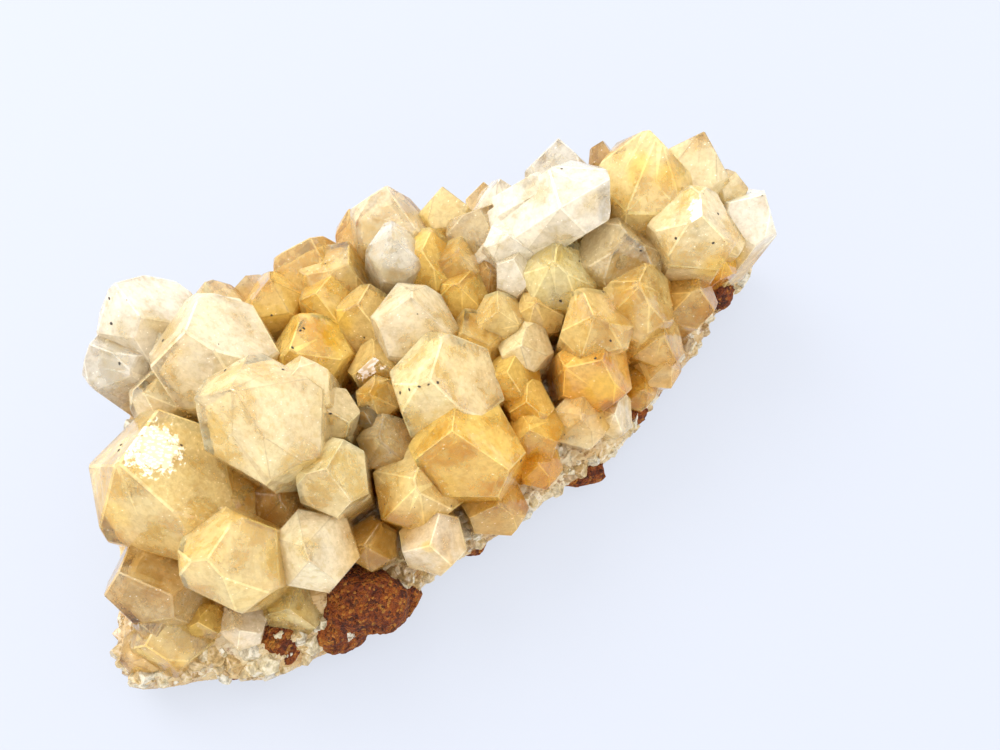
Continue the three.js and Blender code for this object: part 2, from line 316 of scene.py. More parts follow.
# Each row is tip x, y, z | radius | direction and angle of its lean | turn about its own axis |
# length | its sort of quartz | and where it isn't 1, how much wider it is one way than the other.
crystals = {
    "shelf": [
        [-79, 8, 47, 11, 130, 20, 10, 32, "snow"], [-61, -9, 55, 13, 250, 10, 30, 42, "rose", 1.05],
        [-73, -14, 42, 7.5, 210, 16, 10, 26, "water"], [-85, -3, 41, 8.5, 175, 22, 40, 30, "ice"],
        [-48, -27, 60, 13.5, 255, 12, 0, 46, "cream"], [-71, -36, 50, 15.5, 235, 14, 15, 46, "lemon"],
        [-53, -53, 45, 10.5, 260, 20, 5, 36, "lemon"], [-73, -52, 34, 9.5, 205, 16, 35, 30, "smoke"],
        [-71, -62, 22, 9, 245, 28, 12, 22, "straw"], [-61, -58, 21, 4, 270, 20, 25, 14, "gold"],
        [-53, -58, 20, 5.5, 290, 20, 50, 16, "snow"], [-43, -54, 19, 7.5, 285, 24, 20, 16, "straw"],
        [-77, -63, 16, 6, 225, 38, 40, 16, "water"], [-83, -26, 30, 7, 190, 26, 20, 22, "lemon"],
    ],
    "saddle": [
        [-37, -49, 38, 8.5, 280, 24, 20, 30, "rose", 1.1], [-33, -35, 46, 8, 275, 14, 8, 34, "cream"],
        [-35, -19, 42, 6, 255, 14, 33, 26, "cream"], [-56, -36, 36, 7, 250, 16, 50, 24, "tan"],
        [-44, -36, 35, 7, 315, 16, 15, 24, "brown"], [-47, -42, 31, 4, 270, 10, 0, 16, "brown"],
    ],
    "back": [
        [-64, 13, 37, 8.5, 110, 18, 18, 24, "cream", 1.1], [-50, 13, 41, 7.5, 90, 8, 42, 26, "gold"],
        [-41, 23, 39, 9, 80, 16, 5, 26, "tan", 1.2], [-33, 16, 42, 9, 345, 22, 24, 28, "tan", 1.1],
        [-24, 33, 44, 9.5, 75, 14, 15, 28, "water"], [-22, 18, 47, 7, 310, 12, 30, 32, "ice"],
        [-13, 38, 40, 7.5, 95, 22, 38, 24, "lemon"], [-16, 19, 42, 8, 290, 14, 12, 28, "gold"],
        [-4, 30, 42, 8.5, 60, 8, 0, 26, "smoke", 1.15], [-9, 20, 41, 7, 315, 8, 22, 26, "tan"],
        [1, 40, 39, 9, 95, 24, 48, 24, "snow", 1.15], [7, 41, 39, 7, 85, 22, 8, 24, "ice"],
        [23, 32, 51, 9.5, 10, 48, 15, 36, "snow", 1.1], [14, 49, 43, 9, 95, 20, 30, 28, "ice"],
        [24, 47, 44, 3.5, 85, 22, 10, 22, "brown"], [30, 53, 34, 7, 85, 32, 10, 22, "cream"],
        [-3, 46, 30, 7, 105, 34, 20, 18, "cream"], [-33, 35, 33, 7.5, 105, 32, 5, 20, "tan"],
        [-48, 27, 28, 7, 105, 30, 40, 16, "tan"], [3, 21, 44, 6.5, 295, 18, 40, 26, "snow"],
        [-57, 19, 31, 6.5, 115, 26, 20, 20, "cream", 1.1],
    ],
    "field": [
        [-43, -5, 43, 9, 235, 22, 26, 30, "gold"], [-38, 9, 41, 7.5, 245, 14, 6, 26, "gold"],
        [-29, 4, 42, 8, 270, 12, 12, 28, "tan"], [-26, -6, 39, 7, 280, 12, 35, 24, "tan"],
        [-26, -14, 38, 5, 250, 16, 10, 20, "tan"], [-28, -18, 37, 3, 270, 10, 0, 14, "smoke"],
        [-24, -24, 37, 7, 270, 16, 22, 24, "smoke"], [-17, 2, 48, 8.5, 330, 8, 28, 34, "rose", 1.1],
        [-8, 12, 39, 6.5, 270, 10, 0, 22, "gold"], [-8, 1, 39, 7.5, 215, 18, 36, 24, "tan"],
        [-12, -16, 48, 11.5, 265, 18, 18, 38, "cream", 1.1], [-8, -27, 45, 12, 250, 14, 28, 40, "gold"],
        [-16, -33, 36, 9.5, 290, 16, 12, 30, "lemon", 1.1], [-2, 18, 37, 5.5, 270, 8, 50, 20, "brown"],
        [4, 17, 41, 6, 290, 8, 5, 22, "snow"], [0, 5, 40, 6, 270, 16, 32, 22, "lemon"],
        [5, -1, 38, 6.5, 255, 14, 18, 22, "cream"], [3, -8, 36, 6.5, 270, 14, 8, 22, "gold"],
        [13, 14, 45, 9.5, 260, 12, 24, 32, "straw", 1.05], [9, 8, 38, 6, 280, 12, 44, 22, "tan"],
        [21, 1, 45, 8.5, 280, 14, 44, 32, "tan"], [22, -7, 39, 9, 295, 20, 10, 28, "amber"],
        [6, -13, 34, 6, 270, 14, 26, 20, "gold"], [7, -20, 33, 7, 260, 20, 36, 22, "gold"],
        [18, -16, 30, 7, 280, 24, 16, 20, "cream"],
    ],
    "crown": [
        [35, 42, 52, 12.5, 80, 12, 30, 36, "lemon"], [47, 45, 48, 9, 60, 20, 12, 30, "cream"],
        [43, 22, 52, 10.5, 270, 16, 25, 36, "cream"], [60, 35, 41, 8, 15, 18, 5, 26, "snow"],
        [54, 41, 41, 5, 40, 18, 40, 22, "cream"], [51, 25, 33, 6, 300, 16, 0, 20, "amber"],
        [32, 32, 43, 7, 310, 14, 15, 24, "brown"], [36, 32, 43, 3.5, 270, 8, 35, 18, "brown"],
        [28, 20, 47, 10.5, 320, 10, 48, 34, "smoke"], [31, 9, 43, 9.5, 290, 10, 6, 32, "tan"],
        [48, 50, 35, 7, 60, 34, 30, 20, "cream"], [61, 42, 31, 6.5, 25, 36, 15, 20, "cream"],
    ],
    "front": [
        [45, 15, 33, 7.5, 300, 20, 22, 24, "tan"], [37, 5, 30, 7.5, 300, 22, 12, 24, "lemon"],
        [38, 1, 24, 6, 305, 28, 30, 18, "cream"], [33, -3, 20, 5.5, 300, 28, 20, 16, "gold"],
        [26, -11, 24, 6.5, 300, 24, 5, 18, "snow"], [-14, -45, 31, 7.5, 270, 24, 15, 26, "snow"],
        [0, -34, 26, 7.5, 290, 24, 28, 22, "tan"], [-27, -43, 27, 6, 265, 18, 0, 18, "smoke"],
        [9, -24, 26, 6, 290, 22, 18, 18, "gold"],
    ],
}

rowFields = ("x", "y", "z", "radius", "direction", "lean", "turn", "length", "sort", "stretch")

crystal = {
    "rhombAngle": 51.8,  # from the c-axis to the normal of a termination face
    "faceWidth": (0.9, 0.2),  # how far out the prism faces are, and how much that varies
    "largeFaceBack": (0.0, 0.3),  # how far behind the tip a termination face meets the axis
    "smallFaceBack": (0.12, 0.4),
    "edgeWear": 0.03,  # width of the worn edges, as a share of the radius
    "sharpFrom": 20,  # degrees from which an edge is worn
    "mergedCorners": 0.02,  # corners nearer than this share of the radius become one
    "swell": 0.014,  # how far the large faces swell, as a share of the radius
    "swellChange": (0.4, 1.0),
    "swellAboveRadius": 5,
    "shootLeastRadius": 9,  # crystals at least this wide carry a smaller point on one side
    "shootAway": (0.62, 0.2),  # from the axis, as a share of the larger radius, and so on
    "shootDrop": (0.75, 0.5),
    "shootRadius": (0.36, 0.22),
    "shootLength": 3,  # as a share of its own radius
    "shootSwing": 16,  # degrees between the directions that it may lean to
    "shootLean": 8,
    "lowest": 1,  # the crystals end this high inside the rock
}


def crystalFaces(radius, stretch, seed):  # the flat faces of one point, its tip at the origin
    faces = []
    tilt = math.radians(crystal["rhombAngle"])
    for k in range(6):
        turn = math.radians(60 * k)
        wide = 1 + (stretch - 1) * abs(math.cos(turn))
        apothem = radius * math.cos(math.radians(30)) * wide * varied(*crystal["faceWidth"], seed + k)
        faces.append((Vector((math.cos(turn), math.sin(turn), 0)), apothem))
        if k % 2 == 0:
            back = varied(*crystal["largeFaceBack"], seed + k + 20)
        else:
            back = varied(*crystal["smallFaceBack"], seed + k + 40)
        normal = Vector((math.sin(tilt) * math.cos(turn), math.sin(tilt) * math.sin(turn), math.cos(tilt)))
        faces.append((normal, 0 if k == 0 else radius * back))
    return faces


def cutOffBelow(piece, height):
    pick(piece)
    edited(
        bpy.ops.mesh.bisect, plane_co=(0, 0, height), plane_no=(0, 0, -1), use_fill=True, clear_outer=True)


def isNarrow(mesh, face):
    corners = [mesh.vertices[i].co for i in face.vertices]
    around = sum((corners[i] - corners[i - 1]).length for i in range(len(corners)))
    return face.area < 0.02 * around ** 2  # a square has 0.06


def grownPoint(radius, length, stretch, seed, wear, swell):  # one crystal, cut from a block by its faces
    clearSelection()
    reach = 1.5 * radius
    middle = (0, 0, reach / 2 - length / 2)
    bpy.ops.mesh.primitive_cube_add(size=2, location=middle, scale=(reach, reach, (length + reach) / 2))
    point = bpy.context.object
    bpy.ops.object.transform_apply(location=True, rotation=True, scale=True)
    mode("EDIT")
    for normal, distance in crystalFaces(radius, stretch, seed):
        bpy.ops.mesh.select_all(action="SELECT")
        bpy.ops.mesh.bisect(plane_co=normal * distance, plane_no=normal, use_fill=True, clear_outer=True)
    bpy.ops.mesh.select_all(action="SELECT")
    bpy.ops.mesh.remove_doubles(threshold=crystal["mergedCorners"] * radius)
    mode("OBJECT")
    facet = point.data.attributes.new("facet", "INT", "FACE")
    facet.data.foreach_set("value", range(len(point.data.polygons)))
    if swell:  # each large top face swells a little into low growth facets
        tops = [face.normal.z > 0.4 and face.area > 0.2 * radius ** 2 for face in point.data.polygons]
        point.data.polygons.foreach_set("select", tops)
        mode("EDIT")
        bpy.ops.mesh.poke(offset=swell * radius)
        mode("OBJECT")
    point.data.attributes.new("edge", "INT", "FACE")
    if wear:
        mode("EDIT")
        bpy.ops.mesh.select_mode(type="EDGE")
        bpy.ops.mesh.select_all(action="DESELECT")
        bpy.ops.mesh.edges_select_sharp(sharpness=math.radians(crystal["sharpFrom"]))
        bpy.ops.mesh.bevel(
            offset=wear, offset_type="OFFSET", segments=1, affect="EDGES", clamp_overlap=True)
        bpy.ops.mesh.select_mode(type="VERT")
        mode("OBJECT")
        narrow = [isNarrow(point.data, face) for face in point.data.polygons]
        point.data.attributes["edge"].data.foreach_set("value", narrow)
    return point


def namedRow(row):
    return {"stretch": 1, **dict(zip(rowFields, row))}


def placeOf(row):
    lean = math.radians(row["lean"])
    direction = math.radians(row["direction"])
    out = math.sin(lean)
    axis = Vector((out * math.cos(direction), out * math.sin(direction), math.cos(lean)))
    turn = Matrix.Rotation(math.radians(row["turn"]), 4, "Z")
    return Matrix.Translation((row["x"], row["y"], row["z"])) @ turnedTo(axis) @ turn


def sideShoot(row, seed):  # a smaller point that grew against the side of a larger one
    radius = row["radius"]
    angle = 2 * math.pi * chance(seed + 11)
    away = radius * varied(*crystal["shootAway"], seed + 7)
    drop = radius * varied(*crystal["shootDrop"], seed + 13)
    tip = placeOf(row) @ Vector((away * math.cos(angle), away * math.sin(angle), -drop))
    small = radius * varied(*crystal["shootRadius"], seed + 8)
    direction = row["direction"] + crystal["shootSwing"] * (chance(seed + 1) - 0.5)
    lean = row["lean"] + crystal["shootLean"] * chance(seed + 2)
    length = small * crystal["shootLength"]
    return namedRow([*tip, small, direction, lean, row["turn"] + 4, length, row["sort"]])


def plannedCrystals():  # every crystal and side shoot, with its place and the seed of its faces
    planned = []
    rows = [namedRow(row) for group in crystals.values() for row in group]
    for i, row in enumerate(rows):
        planned.append({**row, "seed": 7 * i + 1})
        if row["radius"] >= crystal["shootLeastRadius"]:
            planned.append({**sideShoot(row, 31 * i + 5), "seed": 900 + 7 * i})
    for row in planned:
        row["place"] = placeOf(row)
    return planned


def pointOfRow(row, wear, swell):
    return grownPoint(row["radius"], row["length"], row["stretch"], row["seed"], wear, swell)


def fusedCrystals(planned):
    others = bpy.data.collections.new("points")
    bpy.context.scene.collection.children.link(others)
    first = None
    for owner, row in enumerate(planned):
        radius = row["radius"]
        swell = crystal["swell"] * varied(*crystal["swellChange"], row["seed"] + 60)
        swells = radius > crystal["swellAboveRadius"]
        point = pointOfRow(row, crystal["edgeWear"] * radius, swell if swells else 0)
        point.data.transform(row["place"])
        point.data.update()
        tag = point.data.attributes.new("owner", "INT", "FACE")
        tag.data.foreach_set("value", [owner] * len(point.data.polygons))
        if first is None:
            first = point
        else:
            bpy.context.collection.objects.unlink(point)
            others.objects.link(point)
    applied(
        first, "BOOLEAN", operation="UNION", solver="MANIFOLD", operand_type="COLLECTION", collection=others)
    for point in list(others.objects):
        bpy.data.objects.remove(point)
    bpy.data.collections.remove(others)
    cutOffBelow(first, crystal["lowest"])
    return first


# Marks on the crystals, as x, y, z in the plan. Most are where the photo shows them, and a few are not.
etchedGlareFacets = [  # with the radius of the etched patch, which also carries a painted highlight
    (-68.5, -30, 46.4, 6.5), (-28.3, -7.1, 37.7, 4), (43, 24.5, 51.4, 4),
]
stains = [  # with their radius and strength
    (-37.8, -1.8, 39.1, 4.5, 0.9), (-40.6, -8, 40, 3.5, 0.7), (-34.8, 3.0, 38.4, 3.5, 0.8),
    (30.5, 37, 48.0, 3.5, 0.8), (38, 35, 47, 4.0, 0.9), (49, 19, 38, 6.0, 1.0), (53.2, 24.6, 30, 5.0, 1.0),
    (22.6, -9.8, 33.7, 4.5, 0.8), (-14.5, -44.9, 31, 1.6, 0.6), (-76.7, -42, 38, 4.0, 0.45),
    (-60, -42, 47, 3.5, 0.4), (19.4, 27.6, 50, 3.0, 0.35),
]
blackGrains = [
    (-22.8, -13.0, 38), (-20.4, -16.3, 43), (-18.3, -16.9, 45.6), (-16.2, -17.4, 47.9), (-14.3, -17.4, 48.8),
    (-12.5, -16.9, 48.6), (-64, -28.1, 42.7), (-42.2, -1, 41.9), (-82, 4.1, 46.6), (-81.8, -0.1, 43.4),
    (-69.1, -6.5, 47.3), (-80, -7.8, 39.9), (-41.7, -0.2, 41.4), (-75.2, -28.8, 44.4), (-75, -30.6, 45.8),
    (-43.3, -5.9, 43.3), (-34.6, -20.4, 41.7), (-54, -16.9, 53.6), (13.2, 8.9, 37.9), (30.6, 18.2, 43.5),
    (4.3, -26.9, 32.7), (23.4, -2.5, 40.3),
]

facetLooks = {
    "brightness": (0.95, 0.08),  # of one crystal, and how much it varies
    "tone": 0.12,  # how much lighter one facet can be than the next
    "milk": 0.14,  # how much cloudier
    "darkenedEdges": 0.35,  # share of crystals with darker worn edges; the others have a painted highlight on theirs
    # a painted highlight on the worn edges: lighter and cloudier
    "highlightedEdgeTone": 1.06,
    "highlightedEdgeMilk": 0.25,
    "darkenedEdgeTone": 0.78,
}


def ownOffset(owner):  # keeps the clouds of one crystal from going on in the next
    return Vector((23 * owner % 97, 0, 0))


def markQuartz(piece, planned):  # each face takes the colour, cloudiness and own coordinates of its crystal
    mesh = piece.data
    owners, facets, edges = (
        [item.value for item in mesh.attributes[name].data] for name in ("owner", "facet", "edge"))
    tree = treeOf(piece)
    # facets near these spots are etched, and their colour also carries a painted highlight
    etchedGlareKeys = set()
    for spot in etchedGlareFacets:
        near = tree.find_nearest(Vector(spot[:3]))[2]
        etchedGlareKeys.add((owners[near], facets[near]))
    kinds = {"tint": "FLOAT_COLOR", "cloud": "FLOAT", "etchAndGlare": "FLOAT", "grown": "FLOAT_VECTOR"}
    for name, kind in kinds.items():
        mesh.attributes.new(name, kind, "CORNER")
    tint, cloud, etchAndGlare, grown = (mesh.attributes[name] for name in kinds)
    backs = [row["place"].inverted() for row in planned]
    for face in mesh.polygons:
        owner = owners[face.index]
        facet = facets[face.index]
        hexColour, milk = quartzSorts[planned[owner]["sort"]]
        colour = linear(hexColour)
        tone = facetLooks["tone"] * (chance(owner * 7 + facet) - 0.5)
        change = varied(*facetLooks["brightness"], owner + 0.5) + tone
        milk += facetLooks["milk"] * (chance(owner * 5 + facet + 0.2) - 0.5)
        # Worn edges: on most crystals a painted highlight makes them lighter and cloudier, on the rest they
        # are darker.
        if edges[face.index] and chance(owner + 0.9) > facetLooks["darkenedEdges"]:
            change *= facetLooks["highlightedEdgeTone"]
            milk += facetLooks["highlightedEdgeMilk"]
        elif edges[face.index]:
            change *= facetLooks["darkenedEdgeTone"]
        for corner in face.loop_indices:
            spot = backs[owner] @ mesh.vertices[mesh.loops[corner].vertex_index].co
            tint.data[corner].color = [clamped(value * change) for value in colour[:3]] + [1]
            cloud.data[corner].value = clamped(milk)
            etchAndGlare.data[corner].value = 1.0 if (owner, facet) in etchedGlareKeys else 0.0
            grown.data[corner].vector = spot + ownOffset(owner)


crystalGlass = {
    "absorbed": "#FFE294",  # what is left of white light after a long way through
    "absorbedPerMetre": 20,
    "clouds": (0.11, 2, 0.45, 0.1),
    "fineClouds": (0.7, 5, 0.7, 0.2),
    "iron": (60, 4, 0.55, 0.4),
    "ironWander": 0.007,  # how far the edge of a stain can wander, in metres
    "ironHeights": (0.038, 0.025, 0.0, 1.0),  # the stain gathers low down
    "ironPatches": (0.4, 0.6, 0.3, 0.95),
    "spotFade": (1.25, 0.45),  # where a spot begins and is full, as shares of its radius
    "etchGlareRagged": (0.35, 0.65, -0.45, 0.45),
    "etchGlareEdge": (0.35, 0.6, 0.0, 1.0),
    "flecks": (0.55, 1.9, 1.2),  # per millimetre along each axis, so they are short slivers
    "flecksTurn": (0.5, 0.9, 0.7),
    "fleckPlaces": (0.5, 0.58, 0.0, 0.8),
    "fleckSize": (0.0, 1.0, 0.16, 0.5),  # larger on the etched facets
    "fleckEdge": (0.0, 0.08, 0.0, 1.0),
    "creamPatches": (0.5, 0.3, 0.0, 0.6),
    "strawPatches": (0.47, 0.32, 0.0, 0.45),
    "stainShare": 0.8,
    "glareShare": 0.4,
    "milkShare": 0.62,  # how much of a crystal's cloudiness counts
    "cloudMilk": (0.35, 0.65, -0.14, 0.16),
    "fineMilk": (0.4, 0.62, -0.05, 0.08),
    "glareMilk": 0.5,
    "roughness": (0.35, 0.7, 0.02, 0.1),
    "frostRoughness": 0.3,
    "ripples": (0.3, 3, 0.5),
    "steps": 0.22,  # growth steps, 5 mm apart
    "stepShare": 0.5,
    "bump": (0.4, 0.0006),  # strength and distance
}


def nearSpots(tree, place, spots):  # the strength of the nearest spot, and 0 away from them all
    total = None
    for x, y, z, radius, strength in spots:
        centre = planToFrame @ Vector((x, y, z))
        away = vectorMaths(tree, "DISTANCE", place, {1: centre})
        begins, full = (radius * share * mm for share in crystalGlass["spotFade"])
        near = ranged(tree, away.outputs["Value"], begins, full, 0.0, strength)
        total = near if total is None else maths(tree, "MAXIMUM", total, near)
    return total


def wandering(tree, place, noiseColour, reach):  # moves each place to one side by up to half of reach
    shift = vectorMaths(tree, "SCALE", noiseColour, {"Scale": reach})
    added = vectorMaths(tree, "ADD", place, links={1: shift.outputs[0]})
    middle = (reach / 2, reach / 2, reach / 2)
    return vectorMaths(tree, "SUBTRACT", added.outputs[0], {1: middle}).outputs[0]


def crystalMaterial():
    # Natural quartz: milky and half clear by turns, with golden iron stain in places, short pale slivers
    # painted as glints, and three etched facets whose colour carries a painted highlight.
    looks = crystalGlass
    material, tree, output = newMaterial("golden quartz")
    grown = ownValue(tree, "grown", "Vector")
    place = objectPlace(tree)
    broad = noiseValue(tree, grown, *looks["clouds"])
    fine = noiseValue(tree, grown, *looks["fineClouds"])
    iron = noiseNode(tree, place, *looks["iron"])
    ragged = wandering(tree, place, iron.outputs["Color"], looks["ironWander"])

    # golden iron stain, at its spots and low between the crystals
    spots = nearSpots(tree, ragged, stains)
    height = addNode(tree, "SeparateXYZ", links={"Vector": place}).outputs["Z"]
    ironPatches = ranged(tree, iron.outputs["Fac"], *looks["ironPatches"])
    deep = times(tree, ranged(tree, height, *looks["ironHeights"]), ironPatches)

    # etched facets: rougher, and with a painted highlight in their colour
    etchGlareReach = nearSpots(tree, ragged, [(*spot, 1.0) for spot in etchedGlareFacets])
    etchGlareReach = maths(tree, "ADD", etchGlareReach, ranged(tree, fine, *looks["etchGlareRagged"]))
    etchAndGlare = times(tree, ownValue(tree, "etchAndGlare"), ranged(tree, etchGlareReach, *looks["etchGlareEdge"]))

    # painted glints: short pale slivers, many on the etched facets and a few in the cloudy places
    lying = addNode(tree, "Mapping", {
        "Scale": looks["flecks"], "Rotation": looks["flecksTurn"]}, {"Vector": grown})
    fleck = cellsNode(tree, lying.outputs[0], 1.0).outputs["Distance"]
    where = maths(tree, "MAXIMUM", ranged(tree, fine, *looks["fleckPlaces"]), etchAndGlare)
    size = maths(tree, "SUBTRACT", ranged(tree, etchAndGlare, *looks["fleckSize"]), fleck)
    paintedGlints = times(tree, ranged(tree, size, *looks["fleckEdge"]), where)

    colour = layered(tree, ownValue(tree, "tint", "Color"), (
        (ranged(tree, broad, *looks["creamPatches"]), "#F4E8BC", "MULTIPLY"),
        (ranged(tree, fine, *looks["strawPatches"]), "#F0DFA6", "MULTIPLY"),
        (deep, "#F0D08C", "MULTIPLY"),
        (times(tree, spots, looks["stainShare"]), "#FFD54E"),
        # painted glints
        (paintedGlints, "#FFFCF5"),
        # painted highlight: a pinkish-white glare on the etched facets
        (times(tree, etchAndGlare, looks["glareShare"]), "#FFE9E0")))

    milk = times(tree, ownValue(tree, "cloud"), looks["milkShare"])
    # the painted glints and the painted glare on the etched facets also make the surface cloudier
    whitened = maths(tree, "MAXIMUM", paintedGlints, times(tree, etchAndGlare, looks["glareMilk"]))
    clouded = ranged(tree, broad, *looks["cloudMilk"])
    for more in (clouded, ranged(tree, fine, *looks["fineMilk"]), whitened):
        milk = maths(tree, "ADD", milk, more)
    clear = addNode(tree, "Math", {"operation": "SUBTRACT", "use_clamp": True, 0: 1.0}, {1: milk})

    etchedRoughness = times(tree, etchAndGlare, looks["frostRoughness"])
    roughness = maths(tree, "ADD", ranged(tree, broad, *looks["roughness"]), etchedRoughness)
    ripples = noiseValue(tree, grown, *looks["ripples"])
    steps = cellsNode(tree, grown, looks["steps"]).outputs["Distance"]
    relief = maths(tree, "ADD", ripples, times(tree, steps, looks["stepShare"]))
    surfaced(tree, output, {"IOR": quartzRefraction}, {
        "Base Color": colour, "Roughness": roughness, "Transmission Weight": clear.outputs[0],
        "Normal": bumped(tree, relief, *looks["bump"])})
    absorption = addNode(tree, "VolumeAbsorption", {
        "Color": linear(looks["absorbed"]), "Density": looks["absorbedPerMetre"]})
    tree.links.new(absorption.outputs[0], output.inputs["Volume"])
    return material


# Hearts: an earlier, cloudier stage of growth inside each crystal, seen through its clearer skin

hearts = {
    "share": 0.8,  # of the crystal's size
    "deeper": 0.16,  # below the tip, as a share of the radius
    "leastRadius": 5,
    "wear": 0.1,
    "middle": 1.2,  # how far below the tip it is drawn together
    "ragged": 0.07,
    "raggedScale": 1.4,
    "smoothUpTo": 25,
    "lowest": 2,
    "clouds": (140, 3, 0.5, 0.3),
    "fineClouds": (700, 5, 0.66),
    "yellowPatches": (0.52, 0.36, 0.0, 0.6),
    "whiteSpots": (0.5, 0.66, 0.0, 0.7),
    "roughness": 0.6,
    "refraction": 1.1,  # low, because the quartz round it takes away most of the gleam
}


def heartPiece(planned):
    parts = []
    for owner, row in enumerate(planned):
        radius = row["radius"]
        if radius < hearts["leastRadius"]:
            continue
        part = pointOfRow(row, hearts["wear"] * radius, 0)
        edited(bpy.ops.mesh.subdivide, number_cuts=2)
        middle = Vector((0, 0, -radius * hearts["middle"]))
        sunk = Vector((0, 0, hearts["deeper"] * radius))
        for vertex in part.data.vertices:
            way = vertex.co - middle
            place = way * (hearts["raggedScale"] / radius) + Vector((owner * 3.1, 0, 0))
            cloudEdge = hearts["ragged"] * noise.fractal(place, *shapeNoise)
            vertex.co = middle + way * (hearts["share"] + cloudEdge) - sunk
        part.data.transform(row["place"])
        tinted(part, quartzSorts[row["sort"]][0])
        parts.append(part)
    piece = joined(parts)
    cutOffBelow(piece, hearts["lowest"])
    shadedByAngle(piece, hearts["smoothUpTo"])
    return piece


def heartMaterial():
    # Milky quartz: countless tiny fluid bubbles that let no light through, cream and white by turns.
    material, tree, output = newMaterial("milky quartz heart")
    place = objectPlace(tree)
    broad = noiseValue(tree, place, *hearts["clouds"])
    fine = noiseValue(tree, place, *hearts["fineClouds"])
    colour = layered(tree, ownValue(tree, "tint", "Color"), (
        (ranged(tree, broad, *hearts["yellowPatches"]), "#F2DCAC", "MULTIPLY"),
        (ranged(tree, fine, *hearts["whiteSpots"]), "#FFFAF0")))
    looks = {"Roughness": hearts["roughness"], "IOR": hearts["refraction"]}
    surfaced(tree, output, looks, {"Base Color": colour})
    return material


# Veils: thin healed cracks just under the skin of the larger crystals

veils = {
    "leastRadius": 6.5,  # of the crystals that hold them
    "each": 5,
    "size": (0.1, 0.2),  # as shares of the crystal's radius
    "away": 0.6,
    "depth": (0.1, 0.2),
    "tilt": (30, 40),
    "thickness": 0.03,  # as shares of their own size
    "width": 0.7,
    "ragged": 0.5,
    "raggedScale": 2.2,
    "bend": 0.12,
    "bendScale": 1.4,
    "slope": 1.27,  # how fast a termination face falls away from the tip
    "colour": "#FFF6E6",
    "bubbles": (900, 5, 0.7),
    "seeThrough": (0.42, 0.62, 0.1, 0.85),
    "roughness": 0.3,
    "refraction": 1.6,
}


def shapeVeil(part, size, seed):
    for vertex in part.data.vertices:
        co = vertex.co
        ragged = 0.75 + veils["ragged"] * noise.noise(co * veils["raggedScale"] + Vector((seed, 0, 0)))
        bend = veils["bend"] * noise.noise(co * veils["bendScale"] + Vector((0, seed, 0)))
        height = co.z * veils["thickness"] + bend
        vertex.co = Vector((co.x * ragged, co.y * ragged * veils["width"], height)) * size


def veilPiece(planned):
    clearSelection()
    bpy.ops.mesh.primitive_ico_sphere_add(subdivisions=2, radius=1)
    flake = bpy.context.object
    parts = []
    for owner, row in enumerate(planned):
        radius = row["radius"]
        for number in range(veils["each"] if radius >= veils["leastRadius"] else 0):
            seed = 50 * owner + 9 * number
            size = radius * varied(*veils["size"], seed)
            turn = 2 * math.pi * chance(seed + 1)
            away = radius * veils["away"] * math.sqrt(chance(seed + 2))
            deep = veils["slope"] * away + radius * varied(*veils["depth"], seed + 3)
            tilt = math.radians(varied(*veils["tilt"], seed + 5))
            lie = Matrix.Rotation(turn + 0.6 * chance(seed + 4), 4, "Z") @ Matrix.Rotation(tilt, 4, "Y")
            spot = Matrix.Translation((away * math.cos(turn), away * math.sin(turn), -deep))
            part = copied(flake)
            shapeVeil(part, size, seed)
            part.data.transform(row["place"] @ spot @ lie)
            parts.append(part)
    bpy.data.objects.remove(flake)
    return joined(parts)


def veilMaterial():
    # A healed crack in quartz is a film of tiny fluid bubbles: pearly white, ragged and half see-through.
    material, tree, output = newMaterial("healed crack film")
    broken = noiseValue(tree, objectPlace(tree), *veils["bubbles"])
    surfaced(tree, output, {
        "Base Color": linear(veils["colour"]), "Roughness": veils["roughness"], "IOR": veils["refraction"]},
        {"Alpha": ranged(tree, broken, *veils["seeThrough"])})
    return material


# The massive quartz that the crystals stand on

rim = [
    (-81, -63), (-74, -68), (-62, -66), (-50, -66), (-39, -61), (-28, -55), (-21, -49), (-13, -42),
    (-4, -36), (5, -30), (16, -21), (25, -15), (33, -6), (40, 4), (48, 14), (54, 25), (59, 31),
    (63, 37), (61, 43), (53, 48), (40, 53), (22, 54), (4, 49), (-16, 43), (-34, 36), (-54, 27),
    (-66, 20), (-77, 13), (-83, 3), (-85, -12), (-84, -30), (-82, -48),
]
rimMiddle = Vector((-12, -8, 0))

crust = {
    "segments": 160,
    "rings": 40,
    "voxel": 0.75,  # size of the remeshed faces
    "thickness": (4.5, 6),  # over the rock at the front and at the back
    "dome": 5,  # how much higher the middle is than the rim
    "waves": 1.6,
    "flank": 0.6,  # below 1 makes the rim steeper
    "underside": 4.0,  # height inside the rock
    "wall": 2.2,  # how soon the rim's wall reaches the top
    "chips": 1.5,  # depth of the broken lumps, about 6 mm across
    "chipsPerMm": 0.17,
    "crumbs": 0.7,  # and of the crumbs on them, under 2 mm across
    "crumbsPerMm": 0.62,
    "grain": 0.3,
    "grainPerMm": 1.1,
    "outward": 0.6,  # how much of the broken surface moves out from the middle, and up
    "upward": 0.5,
    "drawnIn": 1.0,  # so that nothing stands out over the solid
    "lowered": 0.5,
    "stain": (70, 5, 0.6, 0.6),
    "stainColours": [(0.3, "#A67A40"), (0.43, "#CDA668"), (0.55, "#E0C592"), (0.7, "#F0E0BC")],
    "cracks": (520, 6, 0.72),
    "crackRange": (0.47, 0.34, 0.0, 0.85),
    "grainsPerMetre": 700,
    "paleGrains": (0.7, 0.95, 0.0, 0.5),
    "roughness": (0.0, 1.0, 0.18, 0.6),
    "transmission": 0.12,
    "bump": (0.6, 0.0005),  # strength and distance
}
